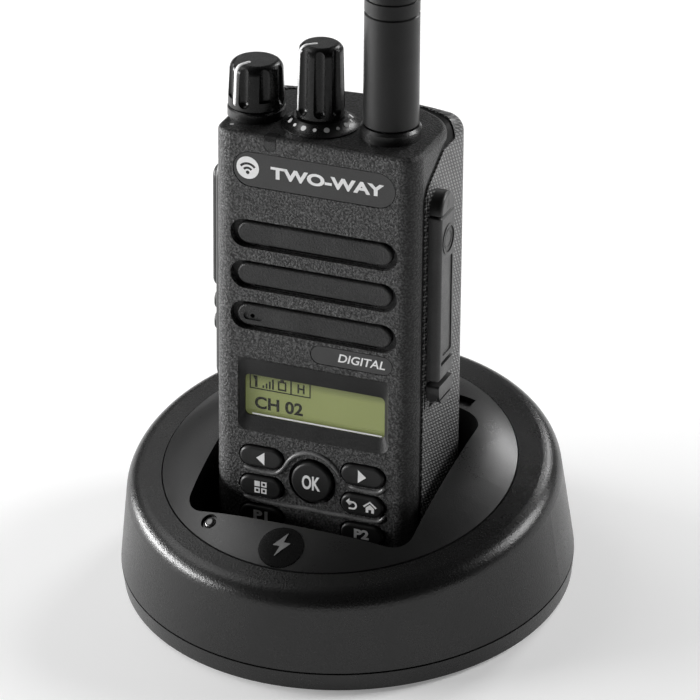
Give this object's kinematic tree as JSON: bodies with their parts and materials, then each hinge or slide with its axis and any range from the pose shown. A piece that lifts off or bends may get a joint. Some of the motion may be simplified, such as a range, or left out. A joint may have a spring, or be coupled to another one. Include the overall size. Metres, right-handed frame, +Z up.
{
  "type": "two way radio in desktop charger",
  "caption": "Hand-held two way radio with rotary controls, keypad, display and whip antenna, standing in a round drop-in charger that it lifts out of.",
  "frame": {"origin": "centre of the charger's underside, on the surface it stands on", "axes": "+Z up, -Y to the radio's face, +X to the right seen from the front"},
  "size_m": [0.1208, 0.1208, 0.2836],
  "materials": {
    "charger_shell": "fine grained moulding",
    "charger_dome": "satin moulding",
    "rubber_feet": "soft",
    "screw_steel": "plated",
    "circuit_board": "solder mask",
    "gold_contact": "plated",
    "black_gloss": "smooth",
    "indicator": "clear lens",
    "face_shell": "fine grained moulding",
    "grid_shell": "moulded fine grid",
    "seal_rubber": "soft",
    "cell_wrap": "shrink wrap",
    "cast_frame": "as cast",
    "grille": "fine grained moulding",
    "speaker_metal": "satin",
    "speaker_paper": "pressed",
    "clear_lens": "clear",
    "lcd": "liquid crystal display",
    "light_pipe": "smoked clear",
    "key_rubber": "satin",
    "knob_rubber": "satin",
    "control_case": "moulded",
    "shaft_steel": "turned",
    "deck_trim": "fine grained moulding",
    "antenna_rubber": "smooth matte",
    "cover_rubber": "fine grained moulding"
  },
  "bodies": {
    "charger": {"charger_housing": "charger_shell", "charger_base_plate": "charger_shell", "pocket_insert": "charger_dome", "charger_feet": "rubber_feet", "charger_screws": "screw_steel", "charger_board": "circuit_board", "charger_dc_jack": "control_case", "charger_contacts": "gold_contact", "charger_badge": "black_gloss", "charger_led": "indicator"},
    "radio": {"front_housing": "face_shell", "rear_housing": "grid_shell", "body_seal": "seal_rubber", "battery_case": "grid_shell", "battery_cells": "cell_wrap", "battery_contacts": "gold_contact", "main_board": "circuit_board", "shield_cans": "screw_steel", "chassis": "cast_frame", "housing_screws": "screw_steel", "speaker_grille": "grille", "speaker_frame": "speaker_metal", "speaker_cone": "speaker_paper", "speaker_magnet": "speaker_metal", "microphone": "speaker_metal", "display_lens": "clear_lens", "lcd_panel": "lcd", "keypad_board": "circuit_board", "dome_switches": "gold_contact", "volume_pot": "control_case", "volume_collar": "deck_trim", "channel_switch": "control_case", "channel_dial": "deck_trim", "antenna_base_ring": "deck_trim", "antenna_jack": "gold_contact", "status_light_pipe": "light_pipe", "name_plates": "black_gloss", "ptt_bezel": "deck_trim", "side_switches": "circuit_board", "accessory_connector": "control_case"},
    "volume_knob": {"volume_knob": "knob_rubber", "volume_shaft": "shaft_steel"},
    "channel_knob": {"channel_knob": "knob_rubber", "channel_shaft": "shaft_steel"},
    "antenna": {"antenna_sleeve": "antenna_rubber", "antenna_whip": "antenna_rubber", "antenna_stud": "gold_contact"},
    "ptt_button": {"ptt_button": "key_rubber"},
    "side_button_upper": {"side_button_upper": "key_rubber"},
    "side_button_lower": {"side_button_lower": "key_rubber"},
    "connector_cover": {"connector_cover": "cover_rubber"},
    "cover_latch": {"cover_latch": "cover_rubber"},
    "battery_latch": {"battery_latch": "deck_trim"},
    "key_left": {"key_left": "key_rubber"},
    "key_menu": {"key_menu": "key_rubber"},
    "key_p1": {"key_p1": "key_rubber"},
    "key_right": {"key_right": "key_rubber"},
    "key_back": {"key_back": "key_rubber"},
    "key_p2": {"key_p2": "key_rubber"},
    "key_ok": {"key_ok": "key_rubber"}
  },
  "joints": [
    {"name": "radio_lift", "type": "slide", "parent": "charger", "child": "radio", "axis": [0, 0.1011, 0.9949], "range_m": [0, 0.07]},
    {"name": "volume_turn", "type": "hinge", "parent": "radio", "child": "volume_knob", "pos_m": [-0.0212, 0.00086, 0.13723], "axis": [0, 0.1011, 0.9949], "range_deg": [-250, 20]},
    {"name": "channel_turn", "type": "hinge", "parent": "radio", "child": "channel_knob", "pos_m": [-0.0035, 0.00086, 0.13723], "axis": [0, 0.1011, 0.9949], "range_deg": [-315, 22.5]},
    {"name": "antenna_unscrew", "type": "slide", "parent": "radio", "child": "antenna", "axis": [0, 0.1011, 0.9949], "range_m": [0, 0.009]},
    {"name": "ptt_press", "type": "slide", "parent": "radio", "child": "ptt_button", "axis": [1, 0, 0], "range_m": [0, 0.001], "stiffness_N_per_m": 600},
    {"name": "side_upper_press", "type": "slide", "parent": "radio", "child": "side_button_upper", "axis": [1, 0, 0], "range_m": [0, 0.0006], "stiffness_N_per_m": 600},
    {"name": "side_lower_press", "type": "slide", "parent": "radio", "child": "side_button_lower", "axis": [1, 0, 0], "range_m": [0, 0.0006], "stiffness_N_per_m": 600},
    {"name": "cover_swing", "type": "hinge", "parent": "radio", "child": "connector_cover", "pos_m": [0.0313, -0.00147, 0.11525], "axis": [0, -0.9949, 0.1011], "range_deg": [0, 75]},
    {"name": "cover_latch_slide", "type": "slide", "parent": "radio", "child": "cover_latch", "axis": [0, -0.1011, -0.9949], "range_m": [0, 0.003]},
    {"name": "battery_latch_slide", "type": "slide", "parent": "radio", "child": "battery_latch", "axis": [0, 0.1011, 0.9949], "range_m": [0, 0.002], "stiffness_N_per_m": 300},
    {"name": "key_left_press", "type": "slide", "parent": "radio", "child": "key_left", "axis": [0, 0.9949, -0.1011], "range_m": [0, 0.0005], "stiffness_N_per_m": 400},
    {"name": "key_menu_press", "type": "slide", "parent": "radio", "child": "key_menu", "axis": [0, 0.9949, -0.1011], "range_m": [0, 0.0005], "stiffness_N_per_m": 400},
    {"name": "key_p1_press", "type": "slide", "parent": "radio", "child": "key_p1", "axis": [0, 0.9949, -0.1011], "range_m": [0, 0.0005], "stiffness_N_per_m": 400},
    {"name": "key_right_press", "type": "slide", "parent": "radio", "child": "key_right", "axis": [0, 0.9949, -0.1011], "range_m": [0, 0.0005], "stiffness_N_per_m": 400},
    {"name": "key_back_press", "type": "slide", "parent": "radio", "child": "key_back", "axis": [0, 0.9949, -0.1011], "range_m": [0, 0.0005], "stiffness_N_per_m": 400},
    {"name": "key_p2_press", "type": "slide", "parent": "radio", "child": "key_p2", "axis": [0, 0.9949, -0.1011], "range_m": [0, 0.0005], "stiffness_N_per_m": 400},
    {"name": "key_ok_press", "type": "slide", "parent": "radio", "child": "key_ok", "axis": [0, 0.9949, -0.1011], "range_m": [0, 0.0005], "stiffness_N_per_m": 400}
  ]
}
